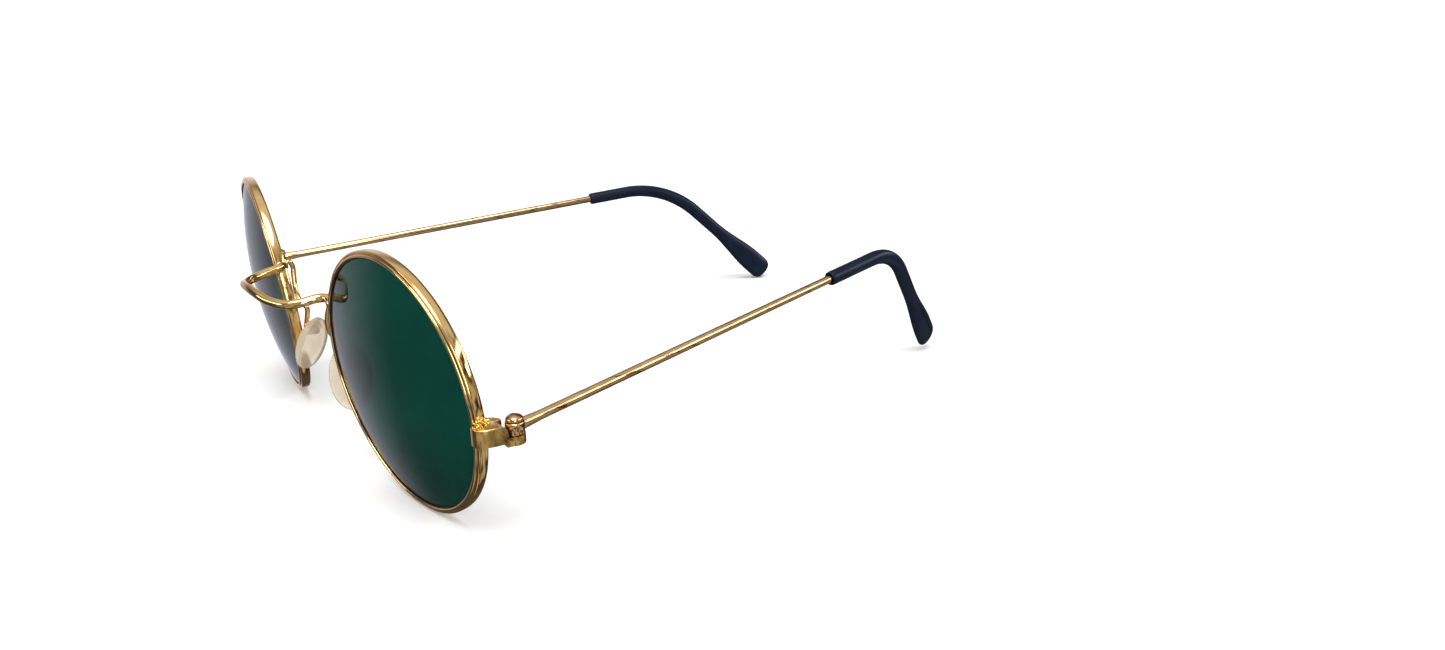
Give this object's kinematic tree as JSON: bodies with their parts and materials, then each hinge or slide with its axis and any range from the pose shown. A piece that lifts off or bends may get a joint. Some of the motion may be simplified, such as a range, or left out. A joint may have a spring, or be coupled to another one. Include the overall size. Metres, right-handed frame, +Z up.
{
  "type": "round wire-rim sunglasses",
  "caption": "Round sunglasses with dark green lenses in thin gold wire rims, folding wire temples with bent plastic tips, and clear nose pads.",
  "frame": {"origin": "on the ground under the middle of the whole object's box, as it stands open on its rims and temple tips", "axes": "+Z up, -Y the way the lenses face, +X towards the wearer's left"},
  "size_m": [0.1296, 0.1521, 0.0483],
  "materials": {
    "gold_plate": "polished, slightly worn gold plate",
    "screw_steel": "gold-washed steel",
    "green_lens": "polished dark green tint",
    "tip_plastic": "satin blue-black",
    "pad_silicone": "clear silicone, slightly yellowed"
  },
  "bodies": {
    "front": {"bridge": "gold_plate", "rim_left": "gold_plate", "rim_right": "gold_plate", "lens_left": "green_lens", "lens_right": "green_lens", "end_piece_left": "gold_plate", "end_piece_right": "gold_plate", "rim_lock_upper_left": "gold_plate", "rim_lock_upper_right": "gold_plate", "rim_lock_lower_left": "gold_plate", "rim_lock_lower_right": "gold_plate", "rim_lock_screw_left": "screw_steel", "rim_lock_screw_right": "screw_steel", "hinge_screw_left": "gold_plate", "hinge_screw_right": "gold_plate", "pad_arm_left": "gold_plate", "pad_arm_right": "gold_plate", "pad_box_left": "gold_plate", "pad_box_right": "gold_plate", "pad_pin_left": "screw_steel", "pad_pin_right": "screw_steel"},
    "temple_left": {"temple_left": "gold_plate", "temple_tip_left": "tip_plastic"},
    "temple_right": {"temple_right": "gold_plate", "temple_tip_right": "tip_plastic"},
    "nose_pad_left": {"nose_pad_left": "pad_silicone"},
    "nose_pad_right": {"nose_pad_right": "pad_silicone"}
  },
  "joints": [
    {"name": "temple_left_fold", "type": "hinge", "parent": "front", "child": "temple_left", "pos_m": [0.0632, -0.0526, 0.0229], "axis": [0, 0, 1], "range_deg": [-12, 77]},
    {"name": "temple_right_fold", "type": "hinge", "parent": "front", "child": "temple_right", "pos_m": [-0.0632, -0.0526, 0.0229], "axis": [0, 0, -1], "range_deg": [-13.5, 71.5]},
    {"name": "nose_pad_left_rock", "type": "hinge", "parent": "front", "child": "nose_pad_left", "pos_m": [0.0126, -0.0612, 0.0206], "axis": [-0.4062, -0.9127, -0.0439], "range_deg": [-10, 10]},
    {"name": "nose_pad_right_rock", "type": "hinge", "parent": "front", "child": "nose_pad_right", "pos_m": [-0.0126, -0.0612, 0.0206], "axis": [-0.4062, 0.9127, 0.0439], "range_deg": [-10, 10]}
  ]
}
